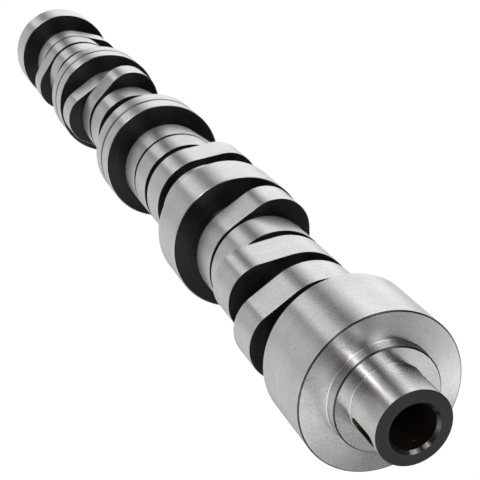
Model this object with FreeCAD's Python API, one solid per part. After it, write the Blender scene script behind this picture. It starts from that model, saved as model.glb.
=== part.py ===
import FreeCAD, Part

import math
import os

# Overhead-valve V8 camshaft, ground from one bar of steel. It stands on the face of its
# rear journal: Z runs up the axis to the nose, and X points at the keyway in the nose.
# Lengths are in millimetres, angles in degrees, anticlockwise seen from the nose end.

# Bearing journals, all ground to one diameter
journal_radius = 30.0
journal_width = 22.5
front_journal_width = 30.7
journal_chamfer = 0.4
bay_count = 4
bay_pitch = 115.0
front_bay_length = 134.5
rear_bay_length = 121.5

# Oil groove round the middle of the journals on both sides of the third bay, counted from
# the rear journal
grooved_journals = [1, 2]
groove_width = 2.2
groove_depth = 0.6

# Turned shaft between the journals and lobes
core_radius = 18.0
core_corner = 1.5

# Lobes: a base circle and a nose circle joined by straight flanks
base_radius = 22.3
nose_circle_radius = 14.9
lobe_height = 29.8
lobe_chamfer = 0.3

# Each lobe's front face, measured forward from its bay's datum, and its width. The datum is
# the front face of the journal behind the bay; the rear journal stands further back.
lobe_places = [(89.8, 16.2), (65.4, 17.5), (43.1, 16.4), (24.3, 16.0)]

# Direction of each lobe's nose from the keyway, bay by bay from the front
nose_angles = [
    [344, 319, 71, 222],
    [52, 197, 78, 152],
    [101, 121, 236, 344],
    [92, 160, 6, 174],
]

# Nose that carries the timing gear, with the shoulder that the gear sits against
shoulder_radius = 19.6
shoulder_thickness = 4.8
shoulder_chamfer = 0.7
shoulder_foot_corner = 0.8
nose_radius = 13.7
nose_length = 18.1
nose_chamfer = 0.5

# Keyway, cut by an end mill
key_width = 5.0
key_depth = 3.0
key_length = 14.4
key_from_shoulder = 0.6

# Blind threaded hole for the gear bolt, plain at its minor diameter, and its countersink
thread_radius = 8.25
thread_depth = 36.0
countersink_radius = 9.3
drill_point_angle = 118.0

# Centre hole in the rear face, for grinding between centres
centre_mouth_radius = 5.0
centre_pilot_radius = 2.0
centre_pilot_depth = 9.0
centre_cone_angle = 60.0

# Heights that follow from the driving dimensions
inner_bays = bay_count - 2
front_datum = journal_width + rear_bay_length + inner_bays * bay_pitch
front_face = front_datum + front_bay_length
shoulder_face = front_face + shoulder_thickness
tip_face = shoulder_face + nose_length
up = FreeCAD.Vector(0, 0, 1)


def point(radius, height):
    return FreeCAD.Vector(radius, 0, height)


def revolve(points):
    outline = Part.makePolygon(points + points[:1])
    return Part.Face(outline).revolve(FreeCAD.Vector(), up, 360)


def journal_spans():
    # Rear and front face of every journal, from the rear one forward
    spans = [(0, journal_width)]
    for bay in range(inner_bays + 1):
        low = rear_bay_length + bay * bay_pitch
        spans.append((low, low + journal_width))
    spans.append((front_face - front_journal_width, front_face))
    return spans


def oil_groove(middle):
    # Flat floor and 45 degree walls
    half = groove_width / 2
    floor = journal_radius - groove_depth
    return [
        point(journal_radius, middle - half), point(floor, middle - half + groove_depth),
        point(floor, middle + half - groove_depth), point(journal_radius, middle + half),
    ]


def turned_shaft():
    # Journals and core in one outline, with a cone where the core meets each journal's face
    spans = journal_spans()
    edge = journal_radius - journal_chamfer
    foot = core_radius + core_corner
    outline = [point(0, 0)]
    for index, (low, high) in enumerate(spans):
        if index > 0:
            outline += [point(core_radius, low - core_corner), point(foot, low)]
        outline += [point(edge, low), point(journal_radius, low + journal_chamfer)]
        if index in grooved_journals:
            outline += oil_groove((low + high) / 2)
        outline += [point(journal_radius, high - journal_chamfer), point(edge, high)]
        if index < len(spans) - 1:
            outline += [point(foot, high), point(core_radius, high + core_corner)]
    outline.append(point(0, front_face))
    return revolve(outline)


def lobe_profile():
    # Base arc, nose arc along +X and the two flanks that touch both
    reach = lobe_height - nose_circle_radius
    touch = math.acos((base_radius - nose_circle_radius) / reach)
    side = FreeCAD.Vector(math.cos(touch), math.sin(touch), 0)
    mirror = FreeCAD.Vector(side.x, -side.y, 0)
    nose_centre = point(reach, 0)
    nose_start = nose_centre + mirror * nose_circle_radius
    nose_end = nose_centre + side * nose_circle_radius
    base_start = side * base_radius
    base_end = mirror * base_radius
    return Part.Wire([
        Part.Arc(nose_start, point(lobe_height, 0), nose_end).toShape(),
        Part.LineSegment(nose_end, base_start).toShape(),
        Part.Arc(base_start, point(-base_radius, 0), base_end).toShape(),
        Part.LineSegment(base_end, nose_start).toShape(),
    ])


def lobe(width):
    blank = Part.Face(lobe_profile()).extrude(up * width)
    rims = [edge for edge in blank.Edges if abs(edge.Vertexes[0].Z - edge.Vertexes[-1].Z) < 1e-6]
    return blank.makeChamfer(lobe_chamfer, rims)


def all_lobes():
    lobes = []
    for bay, angles in enumerate(nose_angles[:bay_count]):
        rear_datum = front_datum - bay * bay_pitch
        for (front, width), angle in zip(lobe_places, angles):
            piece = lobe(width)
            piece.rotate(FreeCAD.Vector(), up, angle)
            piece.translate(up * (rear_datum + front - width))
            lobes.append(piece)
    return lobes


def nose():
    # Shoulder, with a cone at its foot, and gear seat
    foot = shoulder_radius + shoulder_foot_corner
    return revolve([
        point(0, front_face), point(foot, front_face),
        point(shoulder_radius, front_face + shoulder_foot_corner),
        point(shoulder_radius, shoulder_face - shoulder_chamfer),
        point(shoulder_radius - shoulder_chamfer, shoulder_face),
        point(nose_radius, shoulder_face), point(nose_radius, tip_face - nose_chamfer),
        point(nose_radius - nose_chamfer, tip_face), point(0, tip_face),
    ])


def keyway():
    # Slot with round ends, its floor square to +X
    low = shoulder_face + key_from_shoulder
    floor = nose_radius - key_depth
    half = key_width / 2
    lower_end = FreeCAD.Vector(floor, 0, low + half)
    upper_end = FreeCAD.Vector(floor, 0, low + key_length - half)
    outward = FreeCAD.Vector(1, 0, 0)
    cutter_height = 2 * key_depth
    run = Part.makeBox(cutter_height, key_width, upper_end.z - lower_end.z,
                       FreeCAD.Vector(floor, -half, lower_end.z))
    ends = [Part.makeCylinder(half, cutter_height, end, outward) for end in (lower_end, upper_end)]
    return run.fuse(ends[0]).fuse(ends[1])


def bolt_hole():
    # Drilled and tapped from the tip, ending in the drill's cone
    sink = countersink_radius - thread_radius
    bottom = tip_face - thread_depth
    cone = thread_radius / math.tan(math.radians(drill_point_angle / 2))
    return revolve([
        point(0, tip_face), point(countersink_radius, tip_face),
        point(thread_radius, tip_face - sink), point(thread_radius, bottom),
        point(0, bottom - cone),
    ])


def centre_hole():
    cone = (centre_mouth_radius - centre_pilot_radius) / math.tan(math.radians(centre_cone_angle / 2))
    point_depth = centre_pilot_radius / math.tan(math.radians(drill_point_angle / 2))
    return revolve([
        point(0, 0), point(centre_mouth_radius, 0), point(centre_pilot_radius, cone),
        point(centre_pilot_radius, centre_pilot_depth),
        point(0, centre_pilot_depth + point_depth),
    ])


def camshaft():
    body = turned_shaft().fuse(nose())
    body = body.multiFuse(all_lobes())
    body = body.cut(keyway()).cut(bolt_hole()).cut(centre_hole())
    return body.removeSplitter()


os.makedirs("parts", exist_ok=True)
shape = camshaft()
solid = shape.Solids[0]
print("solids", len(shape.Solids), "valid", shape.isValid(), "faces", len(shape.Faces))
print("length", round(solid.BoundBox.ZLength, 3), "volume cm3", round(solid.Volume / 1000, 2))
solid.exportStep("parts/camshaft.step")
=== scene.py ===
import math

import bmesh
import bpy
import numpy as np
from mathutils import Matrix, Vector


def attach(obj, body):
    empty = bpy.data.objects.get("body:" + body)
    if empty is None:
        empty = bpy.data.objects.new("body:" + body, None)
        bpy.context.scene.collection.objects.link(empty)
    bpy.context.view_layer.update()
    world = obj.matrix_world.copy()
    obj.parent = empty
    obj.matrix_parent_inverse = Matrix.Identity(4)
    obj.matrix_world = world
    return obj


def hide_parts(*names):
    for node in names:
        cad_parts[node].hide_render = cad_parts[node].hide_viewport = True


# A one-piece camshaft in metres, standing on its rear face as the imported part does.
# Z runs up the axis to the nose, and X points at the keyway. Sizes in the dictionaries are in
# millimetres and degrees, anticlockwise seen from the nose.

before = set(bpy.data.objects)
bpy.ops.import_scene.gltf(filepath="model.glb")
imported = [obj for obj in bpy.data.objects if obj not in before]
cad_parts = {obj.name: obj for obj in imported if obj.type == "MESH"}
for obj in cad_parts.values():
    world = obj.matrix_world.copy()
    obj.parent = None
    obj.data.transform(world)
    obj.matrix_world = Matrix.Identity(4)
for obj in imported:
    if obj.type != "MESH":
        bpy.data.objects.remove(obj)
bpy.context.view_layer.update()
mm = 0.001


shaft = {
    "journalRadius": 30.0,
    "journalWidth": 22.5,
    "frontJournalWidth": 30.7,
    "rearBay": 121.5,  # rear face of the shaft to the rear face of the fourth journal
    "bayPitch": 115.0,
    "frontBay": 134.5,  # front face of the second journal to the front face of the first
    "coreRadius": 18.0,
    "coreFillet": 1.5,
    "edge": 0.4,
    "frontEdge": 0.5,
    "grooved": [1, 2],  # journals with an oil groove, counted from the rear one as 0
    "grooveWidth": 2.8,
    "grooveDepth": 0.55,
    "grooveRows": 9,
    "columns": 180,  # faces round the axis
}

lobes = {
    "baseRadius": 22.3,
    "noseRadius": 14.9,
    "height": 29.8,
    "edge": 0.15,
    # Front face above the front face of the journal behind the bay, and width
    "places": [(89.8, 16.2), (65.4, 17.5), (43.1, 16.4), (24.3, 16.0)],
    # Angle of each lobe's nose from the keyway, bay by bay from the front
    "angles": [
        [344, 319, 71, 222],
        [52, 197, 78, 152],
        [101, 121, 236, 344],
        [92, 160, 6, 174],
    ],
}

nose = {
    "shoulderRadius": 19.6,
    "shoulderThickness": 4.8,
    "shoulderEdge": 0.5,
    "shoulderFillet": 0.5,
    "radius": 13.7,
    "length": 18.1,
    "edge": 0.5,
    "footFillet": 0.35,
    "rows": 24,
    "keyWidth": 5.0,
    "keyDepth": 3.0,
    "keyLength": 14.4,
    "keyFromShoulder": 0.6,
    "keyLip": 0.15,
    "keyColumns": 10,  # columns each side of the keyway's middle that its patch takes
    "keyRings": 5,
}

bore = {
    "radius": 8.25,
    "depth": 36.0,
    "mouthRadius": 9.3,
    "rootRadius": 8.95,
    "threadPitch": 1.5,
    "threadLength": 24.0,
    "threadFadeIn": 1.2,
    "threadFadeOut": 1.5,
    "threadSteepness": 1.25,
    "threadCrest": 0.12,
    "rowsPerTurn": 8,
    "pointAngle": 118.0,
}

centreHole = {"mouthRadius": 5.0, "pilotRadius": 2.0, "depth": 9.0, "coneAngle": 60.0}

# Finish of each band of faces, in the order of the material slots
finishes = ["ground", "turned", "black", "polished", "endRing", "thread", "rim", "faced",
            "mouth", "slot", "groove"]
cornerAngles = np.radians([0.0, 30.0, 60.0, 90.0])


class Outline:
    # Rows from the rear centre hole round the outside and down into the bolt hole. Each has
    # a radius, a height, and the finish of the faces up to the next row. A row on a lobe has
    # the lobe's angle, and its radius counts from the lobe's own outline.
    def __init__(self):
        self.rows = []

    def add(self, radius, height, finish, angle=None):
        self.rows.append((radius, height, finish, angle))

    def collar(self, radius, low, high, edge, top,
               angle=None, rim="ground", frontEdge=None, groove=False):
        # Outside of a ring with both edges rounded: a quarter circle, straight up, and another
        for turn in cornerAngles:
            self.add(radius - edge + edge * math.sin(turn), low + edge - edge * math.cos(turn),
                     "ground", angle)
        if groove:
            self.oilGroove(radius, (low + high) / 2)
        edge = frontEdge or edge
        for turn in cornerAngles[:-1]:
            self.add(radius - edge + edge * math.cos(turn), high - edge + edge * math.sin(turn),
                     rim, angle)
        self.add(radius - edge, high, top, angle)

    def oilGroove(self, radius, middle):
        # One whole wave of a cosine, cut into the outside from crest to crest
        half, depth = shaft["grooveWidth"] / 2, shaft["grooveDepth"]
        for share in np.linspace(-1, 1, shaft["grooveRows"]):
            drop = depth * (1 + math.cos(math.pi * share)) / 2
            self.add(radius - drop, middle + half * share, "groove" if share < 1 else "ground")

    def hollowCorner(self, radius, height, fillet, side, finish):
        # Quarter circle between a cylinder and a face, above the face where side is 1 and
        # below it where side is -1
        for turn in cornerAngles[::side]:
            self.add(radius + fillet - fillet * math.sin(turn),
                     height + side * (fillet - fillet * math.cos(turn)), finish)


def drillPoint(radius):
    # Height of the cone that a drill leaves
    return radius / math.tan(math.radians(bore["pointAngle"] / 2))


def lobeRadius(turn):
    # Distance from the axis to the lobe's outline, at an angle from its nose: the nose circle,
    # then the straight flank that touches both circles, then the base circle
    base, tip = lobes["baseRadius"], lobes["noseRadius"]
    reach = lobes["height"] - tip
    touch = math.acos((base - tip) / reach)
    leave = math.atan2(tip * math.sin(touch), reach + tip * math.cos(touch))
    away = np.abs((turn + np.pi) % (2 * np.pi) - np.pi)
    noseArc = reach * np.cos(away) + np.sqrt(np.maximum(tip**2 - (reach * np.sin(away)) ** 2, 0))
    flank = base / np.cos(np.minimum(away, touch) - touch)
    return np.where(away > touch, base, np.where(away > leave, flank, noseArc))


def journalSpans():
    # Bottom and top of every journal, from the rear one up
    spans = [(0.0, shaft["journalWidth"])]
    for bay in range(len(lobes["angles"]) - 1):
        low = shaft["rearBay"] + bay * shaft["bayPitch"]
        spans.append((low, low + shaft["journalWidth"]))
    front = spans[-1][1] + shaft["frontBay"]
    spans.append((front - shaft["frontJournalWidth"], front))
    return spans


def lobeSpans():
    # Bottom, top and angle of every lobe, from the rear one up
    found = []
    datum = journalSpans()[-2][1]  # front face of the second journal
    for bay, angles in enumerate(lobes["angles"]):
        for (front, width), angle in zip(lobes["places"], angles):
            top = datum - bay * shaft["bayPitch"] + front
            found.append((top - width, top, angle))
    return sorted(found)


def camshaftOutline():
    # All rows, the first row of the gear seat, and the heights of the shoulder's face and of
    # the thread's start
    outline = Outline()
    spans = journalSpans()
    radius, core, edge = shaft["journalRadius"], shaft["coreRadius"], shaft["edge"]
    fillet = shaft["coreFillet"]

    # Centre hole in the rear face
    pilot, mouth = centreHole["pilotRadius"], centreHole["mouthRadius"]
    cone = (mouth - pilot) / math.tan(math.radians(centreHole["coneAngle"] / 2))
    outline.add(0.0, centreHole["depth"] + drillPoint(pilot), "black")
    outline.add(pilot, centreHole["depth"], "black")
    outline.add(pilot, cone, "turned")
    outline.add(mouth, 0.0, "turned")

    # Journals, core and lobes
    waiting = lobeSpans()
    for index, (low, high) in enumerate(spans):
        if index > 0:
            outline.hollowCorner(core, low, fillet, -1, "black")
        last = index == len(spans) - 1
        # The front journal's front edge break takes the rim finish, a painted dark reflection
        outline.collar(radius, low, high, edge, "faced" if last else "black",
                       rim="rim" if last else "ground",
                       frontEdge=shaft["frontEdge"] if last else edge,
                       groove=index in shaft["grooved"])
        if last:
            break
        outline.hollowCorner(core, high, fillet, 1, "black")
        while waiting and waiting[0][0] < spans[index + 1][0]:
            bottom, top, angle = waiting.pop(0)
            outline.add(core, bottom, "black")
            outline.collar(0.0, bottom, top, lobes["edge"], "black", math.radians(angle))
            outline.add(core, top, "black")

    # Shoulder
    front = spans[-1][1]
    shoulder, rim = nose["shoulderRadius"], nose["shoulderEdge"]
    shoulderFace = front + nose["shoulderThickness"]
    outline.hollowCorner(shoulder, front, nose["shoulderFillet"], 1, "polished")
    # The shoulder's edge break takes the rim finish, a painted dark reflection
    outline.add(shoulder, shoulderFace - rim, "rim")
    outline.add(shoulder - rim, shoulderFace, "turned")

    # Gear seat, in rows that the keyway's patch meets
    seat, foot = nose["radius"], nose["footFillet"]
    tip = shoulderFace + nose["length"]
    outline.hollowCorner(seat, shoulderFace, foot, 1, "polished")
    seatRows = np.linspace(shoulderFace + foot, tip - nose["edge"], nose["rows"] + 1)
    firstSeat = len(outline.rows) - 1
    for height in seatRows[1:-1]:
        outline.add(seat, height, "polished")
    outline.add(seat, seatRows[-1], "endRing")
    outline.add(seat - nose["edge"], tip, "endRing")

    # Countersink, thread and drill point
    outline.add(bore["mouthRadius"], tip, "mouth")
    threadTop = tip - (bore["mouthRadius"] - bore["radius"])
    threadEnd = threadTop - bore["threadLength"]
    bottom = tip - bore["depth"]
    step = bore["threadPitch"] / bore["rowsPerTurn"]
    for height in [*np.arange(threadTop, threadEnd, -step), threadEnd - step, bottom]:
        outline.add(bore["radius"], height, "thread")
    outline.add(0.0, bottom - drillPoint(bore["radius"]), "thread")
    return outline.rows, firstSeat, shoulderFace, threadTop


def threadGroove(turns, heights, threadTop):
    # Depth of the thread at an angle and a height: a triangle wave of the height less the
    # climb of one pitch a turn, with its crests and roots cut flat, fading in at both ends
    climb = heights / bore["threadPitch"] - turns / (2 * np.pi)
    wave = np.abs((climb % 1.0) * 2 - 1)
    share = np.clip(wave * bore["threadSteepness"] - bore["threadCrest"], 0, 1)
    fadeIn = np.clip((threadTop - heights) / bore["threadFadeIn"], 0, 1)
    threadEnd = threadTop - bore["threadLength"]
    fadeOut = np.clip((heights - threadEnd) / bore["threadFadeOut"], 0, 1)
    return share * (bore["rootRadius"] - bore["radius"]) * fadeIn * fadeOut


def keywayPatch(outer, shoulderFace):
    # A flat slot with round ends. Every point of the patch's border, given as Y and Z on the
    # seat, is drawn in to the nearest point of the slot's outline, down its wall, and in
    # again to the slot's middle line. X of a point on the seat is the root of R2 less Y2.
    half, lip = nose["keyWidth"] / 2, nose["keyLip"]
    low = shoulderFace + nose["keyFromShoulder"] + half
    high = shoulderFace + nose["keyFromShoulder"] + nose["keyLength"] - half
    middle = np.column_stack([np.zeros(len(outer)), np.clip(outer[:, 1], low, high)])
    away = outer - middle
    away /= np.linalg.norm(away, axis=1)[:, None]
    slot = middle + away * half
    seat = nose["radius"]
    floor = np.full(len(slot), seat - nose["keyDepth"])
    rings = []
    for share in np.linspace(0, 1, nose["keyRings"]):
        ring = outer * (1 - share) + (slot + away * lip) * share
        rings.append((np.sqrt(seat**2 - ring[:, 0] ** 2), ring))
    rings.append((np.sqrt(seat**2 - slot[:, 0] ** 2) - lip, slot))
    rings.append((floor + lip, slot))
    rings.append((floor, slot - away * lip))
    rings.append((floor, middle))
    points = np.array([np.column_stack([depth, ring]) for depth, ring in rings])
    # The seat round the slot, then the slot's lip, wall and corner, then its floor
    # The slot's lip, wall and corner take the slot finish, painted shade
    bands = ["polished"] * (nose["keyRings"] - 1) + ["slot"] * 3 + ["black"]
    return points, bands


def closedFaces(bands, around):
    # Corners of the faces between rows of points, where each row closes on itself
    band, place = np.meshgrid(np.arange(bands), np.arange(around), indexing="ij")
    beside = (place + 1) % around
    return np.stack([band * around + place, band * around + beside,
                     (band + 1) * around + beside, (band + 1) * around + place], axis=2)


def finishIndex(names, around):
    # Material slot of every face, from the finish of each band
    slots = np.array([finishes.index(name) for name in names])
    return np.repeat(slots[:, None], around, axis=1)


def camshaftMesh():
    # Every row of the outline carried round the axis: X is the radius times the cosine of the
    # angle and Y is the radius times its sine. On a lobe the radius follows the lobe's
    # outline, and in the bolt hole it has the thread.
    rows, firstSeat, shoulderFace, threadTop = camshaftOutline()
    rowRadii, rowHeights, rowFinishes, rowAngles = zip(*rows)
    columns = shaft["columns"]
    turns = np.arange(columns) * 2 * np.pi / columns
    radii = np.repeat(np.array(rowRadii)[:, None], columns, axis=1)
    heights = np.repeat(np.array(rowHeights)[:, None], columns, axis=1)
    onLobe = np.array([angle is not None for angle in rowAngles])[:, None]
    angles = np.array([angle or 0.0 for angle in rowAngles])[:, None]
    threaded = (np.array(rowFinishes)[:, None] == "thread") & (radii > 0)
    radii = np.where(onLobe, radii + lobeRadius(turns - angles), radii)
    radii = np.where(threaded, radii + threadGroove(turns, heights, threadTop), radii)
    points = np.stack([radii * np.cos(turns), radii * np.sin(turns), heights], axis=2)

    # Faces of the grid, less those that the keyway's patch takes the place of
    quads = closedFaces(len(rows) - 1, columns)
    finish = finishIndex(rowFinishes[:-1], columns)
    reach = nose["keyColumns"]
    lastSeat = firstSeat + nose["rows"]
    kept = np.ones(finish.shape, bool)
    kept[firstSeat:lastSeat, :reach] = False
    kept[firstSeat:lastSeat, -reach:] = False

    # Border of the patch, anticlockwise seen from outside
    across = np.arange(-reach, reach + 1) % columns
    upward = np.arange(firstSeat, lastSeat + 1)
    border = np.concatenate([
        points[firstSeat, across[:-1]], points[upward[:-1], across[-1]],
        points[lastSeat, across[:0:-1]], points[upward[:0:-1], across[0]],
    ])
    patch, bands = keywayPatch(border[:, 1:], shoulderFace)
    patchQuads = len(rows) * columns + closedFaces(len(bands), len(border))
    patchFinish = finishIndex(bands, len(border))
    return (np.concatenate([points.reshape(-1, 3), patch.reshape(-1, 3)]) * mm,
            np.concatenate([quads[kept], patchQuads.reshape(-1, 4)]),
            np.concatenate([finish[kept], patchFinish.ravel()]))


shading = {
    "mergeWithin": 0.002,
    "sharpAngle": 38.0,
    "faceWeight": 90,  # how much the larger faces hold the shading flat
}


def addPiece(name, points, quads, finish, materials):
    # Mesh from arrays, with double points merged, so that poles and seams are closed
    mesh = bpy.data.meshes.new(name)
    mesh.from_pydata(points.tolist(), [], quads.tolist())
    mesh.polygons.foreach_set("material_index", finish.astype(np.int32))
    for material in materials:
        mesh.materials.append(material)
    piece = bpy.data.objects.new(name, mesh)
    bpy.context.scene.collection.objects.link(piece)
    shell = bmesh.new()
    shell.from_mesh(mesh)
    bmesh.ops.remove_doubles(shell, verts=shell.verts, dist=shading["mergeWithin"] * mm)
    bmesh.ops.recalc_face_normals(shell, faces=shell.faces)
    shell.to_mesh(mesh)
    shell.free()
    mesh.shade_smooth()
    mesh.set_sharp_from_angle(angle=math.radians(shading["sharpAngle"]))
    weighted = piece.modifiers.new("flatFacesStayFlat", "WEIGHTED_NORMAL")
    weighted.keep_sharp = True
    weighted.weight = shading["faceWeight"]
    return piece


class Value:
    # A socket of numbers, with Python's operators for its Math nodes
    def __init__(self, board, socket):
        self.board, self.socket = board, socket

    def combine(self, operation, *values):
        inputs = dict(enumerate(values))
        return self.board.value("ShaderNodeMath", {"operation": operation}, inputs)

    def __add__(self, other):
        return self.combine("ADD", self, other)

    __radd__ = __add__

    def __sub__(self, other):
        return self.combine("SUBTRACT", self, other)

    def __rsub__(self, other):
        return self.combine("SUBTRACT", other, self)

    def __mul__(self, other):
        return self.combine("MULTIPLY", self, other)

    __rmul__ = __mul__

    def __truediv__(self, other):
        return self.combine("DIVIDE", self, other)

    def __rtruediv__(self, other):
        return self.combine("DIVIDE", other, self)

    def __pow__(self, other):
        return self.combine("POWER", self, other)

    def clamped(self):
        return self.combine("MINIMUM", self.combine("MAXIMUM", self, 0.0), 1.0)

    def between(self, low, high):
        return ((self - low) / (high - low)).clamped()


def fillRamp(ramp, stops):
    # Grey levels at places from 0 to 1, eased from one to the next
    ramp.interpolation = "EASE"
    ramp.elements.remove(ramp.elements[-1])
    for index, (place, level) in enumerate(stops):
        element = ramp.elements[0] if index == 0 else ramp.elements.new(place)
        element.position = place
        element.color = (level, level, level, 1.0)


class Board:
    # The node tree of a material or the world
    def __init__(self, owner):
        owner.use_nodes = True
        self.tree = owner.node_tree
        self.tree.nodes.clear()

    def node(self, kind, settings=None, inputs=None):
        made = self.tree.nodes.new(kind)
        for name, value in (settings or {}).items():
            if name == "stops":
                fillRamp(made.color_ramp, value)
            else:
                setattr(made, name, value)
        for name, value in (inputs or {}).items():
            value = value.socket if isinstance(value, Value) else value
            if isinstance(value, bpy.types.NodeSocket):
                self.tree.links.new(value, made.inputs[name])
            else:
                made.inputs[name].default_value = value
        return made

    def value(self, kind, settings=None, inputs=None, output=0):
        return Value(self, self.node(kind, settings, inputs).outputs[output])

    def place(self):
        return self.node("ShaderNodeTexCoord").outputs["Object"]

    def parts(self, vector):
        # X, Y and Z of a vector
        split = self.node("ShaderNodeSeparateXYZ", {}, {0: vector})
        return [Value(self, socket) for socket in split.outputs]

    def noise(self, where, scale, detail, roughness=0.5):
        inputs = {"Vector": where, "Scale": scale, "Detail": detail, "Roughness": roughness}
        return self.value("ShaderNodeTexNoise", {}, inputs)

    def mix(self, share, first, second):
        inputs = {"Factor": share, "A": first, "B": second}
        return self.node("ShaderNodeMix", {"data_type": "RGBA"}, inputs).outputs["Result"]


def finishBoard(name):
    material = bpy.data.materials.new(name)
    return material, Board(material)


def closeFinish(board, values, fixed, colour, roughness, height):
    # What is the same all over sits on the shader's own sockets. The highlight is drawn out
    # across the lines that run round the axis, a quarter turn from the shader's own direction.
    relief = {"Strength": values["bump"], "Distance": values["relief"] * mm, "Height": height}
    bump = board.node("ShaderNodeBump", {}, relief)
    inputs = {"Anisotropic": values["stretch"], "Anisotropic Rotation": 0.25, **fixed,
              "Base Color": colour, "Roughness": roughness, "Normal": bump.outputs[0]}
    shader = board.node("ShaderNodeBsdfPrincipled", {}, inputs)
    board.node("ShaderNodeOutputMaterial", {}, {"Surface": shader.outputs[0]})


def turnedPattern(board, across, along):
    # Noise that changes fast with the distance from the axis and with Z, and slowly round it
    x, y, z = board.parts(board.place())
    radius = (x * x + y * y) ** 0.5
    stretched = {0: (radius + z) * across, 1: x * along, 2: y * along}
    where = board.node("ShaderNodeCombineXYZ", {}, stretched).outputs[0]
    return board.noise(where, scale=1.0, detail=3.0, roughness=0.6)


def scatteredSpots(board, scale, share):
    # Round spots in a few of the cells of a Voronoi pattern: 1 inside a spot, 0 outside
    inner, outer, edge = 0.05, 0.15, 0.01
    cells = board.node("ShaderNodeTexVoronoi", {}, {"Vector": board.place(), "Scale": scale})
    distance = Value(board, cells.outputs["Distance"])
    chance = board.value("ShaderNodeSeparateColor", {}, {0: cells.outputs["Color"]})
    return (1 - distance.between(inner, outer)) * (1 - chance.between(share, share + edge))


def steelFinish(name, values):
    # Bare steel: fine lines round the axis, soft clouds, fine grain and a few dark pits
    material, board = finishBoard(name)
    fineLines = turnedPattern(board, values["fine"], values["fineAlong"])
    broadLines = turnedPattern(board, values["broad"], values["broadAlong"])
    clouds = board.noise(board.place(), values["cloudScale"], detail=3.0)
    grain = board.noise(board.place(), values["grainScale"], detail=2.0)
    pits = scatteredSpots(board, values["pitScale"], values["pitShare"])
    tone = (broadLines * values["lineTone"] + clouds * values["cloudTone"]
            + grain * values["grainTone"]).between(*values["toneRange"])
    colour = board.mix(tone, values["dark"], values["light"])
    colour = board.mix(pits * values["pitDepth"], colour, values["pitColour"])
    roughness = (values["roughness"] + (fineLines - 0.5) * values["lineRoughness"]
                 + (clouds - 0.5) * values["cloudRoughness"]
                 + (grain - 0.5) * values["grainRoughness"] + pits * values["pitRoughness"])
    height = (fineLines * values["fineHeight"] + broadLines * values["broadHeight"]
              + grain * values["grainHeight"])
    closeFinish(board, values, {"Metallic": values["metal"]}, colour, roughness, height)
    return material


def blackFinish(name, values):
    # Black phosphate over turned rings: fine crystals, brown and grey clouds, a few pale specks
    material, board = finishBoard(name)
    rings = turnedPattern(board, values["rings"], values["ringsAlong"])
    clouds = board.noise(board.place(), values["cloudScale"], detail=4.0)
    crystals = board.noise(board.place(), values["crystalScale"], detail=3.0)
    specks = scatteredSpots(board, values["speckScale"], values["speckShare"])
    tone = (rings * values["ringTone"] + clouds * values["cloudTone"]
            + crystals * values["crystalTone"]).between(*values["toneRange"])
    colour = board.mix(tone, values["dark"], values["light"])
    colour = board.mix(specks * values["speckStrength"], colour, values["speck"])
    roughness = (values["roughness"] + (rings - 0.5) * values["ringRoughness"]
                 + (clouds - 0.5) * values["cloudRoughness"]
                 + (crystals - 0.5) * values["crystalRoughness"])
    height = crystals * values["crystalHeight"] + rings * values["ringHeight"]
    closeFinish(board, values, {"Specular IOR Level": values["specular"]}, colour, roughness, height)
    return material


# Ground journals and lobes. The other bare surfaces start from this one. The scales of all
# patterns count per metre.
groundSteel = {
    "dark": (0.50, 0.49, 0.505, 1), "light": (0.72, 0.715, 0.695, 1), "metal": 0.85,
    "roughness": 0.22, "stretch": 0.88,
    "fine": 3800.0, "fineAlong": 40.0, "broad": 500.0, "broadAlong": 12.0,
    "cloudScale": 70.0, "grainScale": 1500.0,
    "lineTone": 0.15, "cloudTone": 0.4, "grainTone": 0.45, "toneRange": (0.3, 0.7),
    "lineRoughness": 0.05, "cloudRoughness": 0.05, "grainRoughness": 0.06,
    "bump": 0.08, "relief": 0.02, "fineHeight": 0.8, "broadHeight": 0.15, "grainHeight": 0.5,
    "pitScale": 420.0, "pitShare": 0.10, "pitDepth": 0.6, "pitRoughness": 0.2,
    "pitColour": (0.10, 0.095, 0.09, 1),
}
facedSteel = {
    **groundSteel, "dark": (0.47, 0.46, 0.46, 1), "light": (0.76, 0.755, 0.75, 1), "metal": 0.95,
    "roughness": 0.29, "fine": 3000.0, "broad": 600.0, "stretch": 0.97, "bump": 0.14,
    "grainRoughness": 0.10, "pitShare": 0.14,
}
turnedSteel = {**facedSteel, "roughness": 0.20, "stretch": 0.85, "bump": 0.06}
polishedSteel = {
    **groundSteel, "dark": (0.54, 0.53, 0.54, 1), "light": (0.79, 0.785, 0.77, 1), "metal": 1.0,
    "roughness": 0.26, "stretch": 0.95, "bump": 0.04, "grainHeight": 0.2,
}
# Countersink at the bolt hole: steel darkened near black, painted shade at the mouth of the bore
mouthPaintedShade = {
    **groundSteel, "dark": (0.02, 0.02, 0.02, 1), "light": (0.20, 0.19, 0.18, 1), "roughness": 0.09,
}
# Keyway lip, wall and corner: steel darkened to near black brown, painted shade inside the slot
slotPaintedShade = {
    **groundSteel, "dark": (0.04, 0.03, 0.02, 1), "light": (0.16, 0.12, 0.07, 1), "roughness": 0.3,
}
# Edge breaks of the front journal's front edge and of the shoulder: steel coloured near black, a
# painted dark reflection all round the edge
rimPaintedDarkReflection = {
    **groundSteel, "dark": (0.05, 0.05, 0.05, 1), "light": (0.09, 0.088, 0.085, 1), "roughness": 0.3,
}
# Oil groove: steel darker than the journal round it, painted shade in the groove
groovePaintedShade = {**rimPaintedDarkReflection, "dark": (0.16, 0.16, 0.16, 1), "light": (0.26, 0.258, 0.255, 1)}
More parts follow.
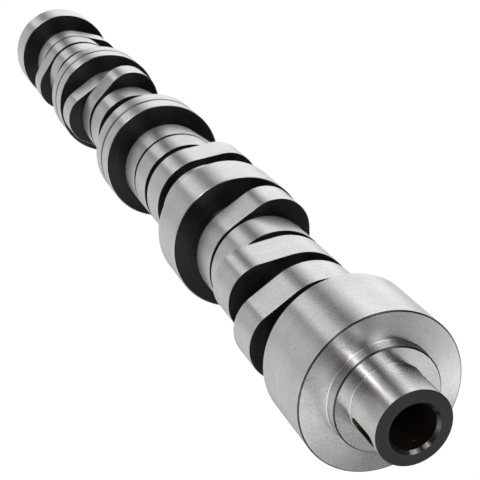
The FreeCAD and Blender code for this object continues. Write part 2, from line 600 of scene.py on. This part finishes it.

# Phosphated core and sides. The ring at the tip and the thread start from it; the thread is darker
# still, painted shade down the bore.
blackPhosphate = {
    "dark": (0.002, 0.0018, 0.0015, 1), "light": (0.020, 0.0175, 0.014, 1), "specular": 0.32,
    "roughness": 0.38, "stretch": 0.9,
    "rings": 400.0, "ringsAlong": 15.0, "cloudScale": 110.0, "crystalScale": 1500.0,
    "ringTone": 0.35, "cloudTone": 0.35, "crystalTone": 0.3, "toneRange": (0.35, 0.65),
    "ringRoughness": 0.16, "cloudRoughness": 0.15, "crystalRoughness": 0.1,
    "bump": 0.3, "relief": 0.04, "ringHeight": 0.8, "crystalHeight": 0.6,
    "speckScale": 400.0, "speckShare": 0.06, "speckStrength": 0.7, "speck": (0.13, 0.11, 0.09, 1),
}
darkEndRing = {
    **blackPhosphate, "dark": (0.024, 0.0235, 0.023, 1), "light": (0.042, 0.040, 0.037, 1),
    "roughness": 0.5, "specular": 0.25, "stretch": 0.3,
}
# Bolt-hole thread: black phosphate made darker and nearly matt, painted shade down the deep bore
threadPaintedShade = {
    **blackPhosphate, "dark": (0.003, 0.002, 0.0012, 1), "light": (0.018, 0.011, 0.006, 1),
    "roughness": 0.6, "specular": 0.03, "stretch": 0.0,
}


def camshaftFinishes():
    # One material for each name in the list of finishes, in its order
    return [
        steelFinish("groundSteel", groundSteel), steelFinish("turnedSteel", turnedSteel),
        blackFinish("blackPhosphate", blackPhosphate), steelFinish("polishedSteel", polishedSteel),
        blackFinish("darkEndRing", darkEndRing), blackFinish("threadPaintedShade", threadPaintedShade),
        steelFinish("rimPaintedDarkReflection", rimPaintedDarkReflection), steelFinish("facedSteel", facedSteel),
        steelFinish("mouthPaintedShade", mouthPaintedShade), steelFinish("slotPaintedShade", slotPaintedShade),
        steelFinish("groovePaintedShade", groovePaintedShade),
    ]


# Brightness of the studio's panels by the angle from the keyway, where two rows of them agree
nearPanels = [(0, 0.8), (30, 0.8), (50, 0.75), (66, 0.6), (80, 0.4), (95, 0.25), (110, 0.8)]
farPanels = [(252, 0.6), (266, 0.5), (276, 1.1), (288, 1.1), (299, 0.35), (318, 0.6), (345, 0.6)]

studio = {
    "cameraPlace": (79.84, -232.70, 793.9),
    "cameraTurn": (-22.966, -20.279, 159.856),
    "lens": 84.62,
    "sensor": 36.0,
    "nearClip": 10.0,
    "floorSize": 3000.0,
    "paper": (0.85, 0.85, 0.85, 1),
    "paperGlow": 1.06,  # for the camera alone, so that the floor is white
    "glowShare": 0.92,  # the rest is the paper itself, with the shaft's shadow on it
    # Rows of panels that stand round the shaft and show in its steel, from the lowest row up.
    # Each has the heights over which it takes over from the row below, as the sine of the
    # angle above level, and its brightness by the angle from the keyway.
    "panelRows": [
        ((-1.0, -1.0), [
            (0, 0.8), (30, 0.8), (50, 0.75), (66, 0.7), (80, 0.55), (92, 0.3), (106, 0.55),
            (120, 1.05), (135, 0.95), (150, 0.65), (165, 1.35), (180, 1.45), (196, 1.2),
            (211, 1.3), (228, 1.35), (242, 0.65), (256, 0.1), (266, 0.4), (276, 0.9),
            (288, 0.95), (299, 0.4), (318, 0.65), (345, 0.6)]),
        ((-0.65, -0.45), nearPanels + [
            (125, 1.0), (134, 0.6), (141, 0.05), (161, 0.05), (170, 2.0), (180, 2.15),
            (192, 2.0), (230, 1.8), (241, 1.2)] + farPanels),
        ((-0.42, -0.28), nearPanels + [
            (125, 0.9), (136, 0.4), (144, 0.0), (196, 0.0), (210, 1.2), (228, 1.5),
            (240, 1.0)] + farPanels),
        ((-0.05, 0.12), [
            (0, 1.0), (15, 0.7), (32, 0.3), (48, 0.0), (102, 0.0), (112, 0.8), (120, 1.2),
            (132, 1.0), (141, 0.2), (155, 0.0), (207, 0.1), (225, 0.5), (240, 0.7),
            (255, 0.1), (272, 0.6), (287, 0.9), (300, 0.3), (330, 0.5)]),
        ((0.38, 0.58), [
            (0, 1.1), (20, 1.25), (45, 1.3), (65, 1.2), (80, 1.0), (92, 0.6), (100, 0.3),
            (113, 0.2), (118, 2.6), (127, 1.4), (137, 0.1), (150, 0.0), (196, 0.0),
            (205, 0.3), (214, 2.8), (222, 3.0), (231, 2.4), (242, 0.5), (256, 0.0),
            (268, 1.3), (283, 2.6), (292, 0.7), (300, 0.0), (330, 0.1), (345, 0.4)]),
        ((0.78, 0.90), [
            (0, 1.6), (60, 1.8), (84, 1.5), (98, 0.4), (112, 0.1), (300, 0.0), (325, 0.1),
            (342, 1.1)]),
        ((0.93, 0.975), [(0, 0.05)]),
    ],
    "lampAngle": 282.0,  # round the axis from the keyway
    "lampLean": 26.0,  # off the axis
    "lampAim": 500.0,  # height on the axis that the lamp faces
    "lampDistance": 1100.0,
    "lampSize": (50.0, 600.0),
    "lampPower": 1.05,
    "lampColour": (1.0, 0.93, 0.92),
}


def studioWorld():
    # White for the camera. Metal reflects a tent of panels, lighter and darker round the axis.
    world = bpy.data.worlds.new("studio")
    bpy.context.scene.world = world
    board = Board(world)
    x, y, z = board.parts(board.node("ShaderNodeTexCoord").outputs["Generated"])
    turn = x.combine("ARCTAN2", y, x) / (2 * math.pi)
    turn = turn.combine("WRAP", turn, 1.0, 0.0)

    def panels(stops):
        closed = [(angle / 360, level) for angle, level in stops] + [(1.0, stops[0][1])]
        return board.node("ShaderNodeValToRGB", {"stops": closed}, {0: turn}).outputs[0]

    tent = panels(studio["panelRows"][0][1])
    for (low, high), stops in studio["panelRows"][1:]:
        tent = board.mix(z.between(low, high), tent, panels(stops))
    seen = board.node("ShaderNodeLightPath").outputs["Is Camera Ray"]
    colour = board.mix(seen, tent, (1, 1, 1, 1))
    shader = board.node("ShaderNodeBackground", {}, {"Color": colour, "Strength": 1.0})
    board.node("ShaderNodeOutputWorld", {}, {"Surface": shader.outputs[0]})


def studioFloor():
    # A plain white sheet, which the camera sees and the steel doesn't
    size = studio["floorSize"] * mm
    corners = [(-size, -size, 0), (size, -size, 0), (size, size, 0), (-size, size, 0)]
    mesh = bpy.data.meshes.new("floor")
    mesh.from_pydata(corners, [], [(0, 1, 2, 3)])
    floor = bpy.data.objects.new("floor", mesh)
    bpy.context.scene.collection.objects.link(floor)
    material, board = finishBoard("floorPaper")
    paper = board.node("ShaderNodeBsdfDiffuse", {}, {"Color": studio["paper"]})
    glow = board.node("ShaderNodeEmission", {},
                      {"Color": (1, 1, 1, 1), "Strength": studio["paperGlow"]})
    share = board.value("ShaderNodeLightPath", output="Is Camera Ray") * studio["glowShare"]
    surface = board.node("ShaderNodeMixShader", {},
                         {0: share, 1: paper.outputs[0], 2: glow.outputs[0]})
    board.node("ShaderNodeOutputMaterial", {}, {"Surface": surface.outputs[0]})
    mesh.materials.append(material)
    floor.visible_glossy = False


def studioLamp():
    # A tall strip near the camera's side, which draws the bright line down the steel
    around, lean = math.radians(studio["lampAngle"]), math.radians(studio["lampLean"])
    towards = Vector((math.sin(lean) * math.cos(around), math.sin(lean) * math.sin(around),
                      math.cos(lean)))
    data = bpy.data.lights.new("strip", "AREA")
    data.shape = "RECTANGLE"
    data.size, data.size_y = [side * mm for side in studio["lampSize"]]
    data.energy = studio["lampPower"]
    data.color = studio["lampColour"]
    lamp = bpy.data.objects.new("strip", data)
    lamp.location = (Vector((0, 0, studio["lampAim"])) + towards * studio["lampDistance"]) * mm
    lamp.rotation_euler = towards.to_track_quat("Z", "Y").to_euler()
    bpy.context.scene.collection.objects.link(lamp)


def studioCamera():
    data = bpy.data.cameras.new("camera")
    data.lens = studio["lens"]
    data.sensor_width = studio["sensor"]
    data.clip_start = studio["nearClip"] * mm
    camera = bpy.data.objects.new("camera", data)
    camera.location = [value * mm for value in studio["cameraPlace"]]
    camera.rotation_euler = [math.radians(value) for value in studio["cameraTurn"]]
    bpy.context.scene.collection.objects.link(camera)
    bpy.context.scene.camera = camera


studioCamera()
studioWorld()
studioLamp()
studioFloor()
print("studio ready")

camshaft = addPiece("camshaftBody", *camshaftMesh(), camshaftFinishes())
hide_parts("camshaft")
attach(camshaft, "root")
print("camshaft built,", len(camshaft.data.polygons), "faces")

scene = bpy.context.scene
scene.view_settings.view_transform = "Standard"
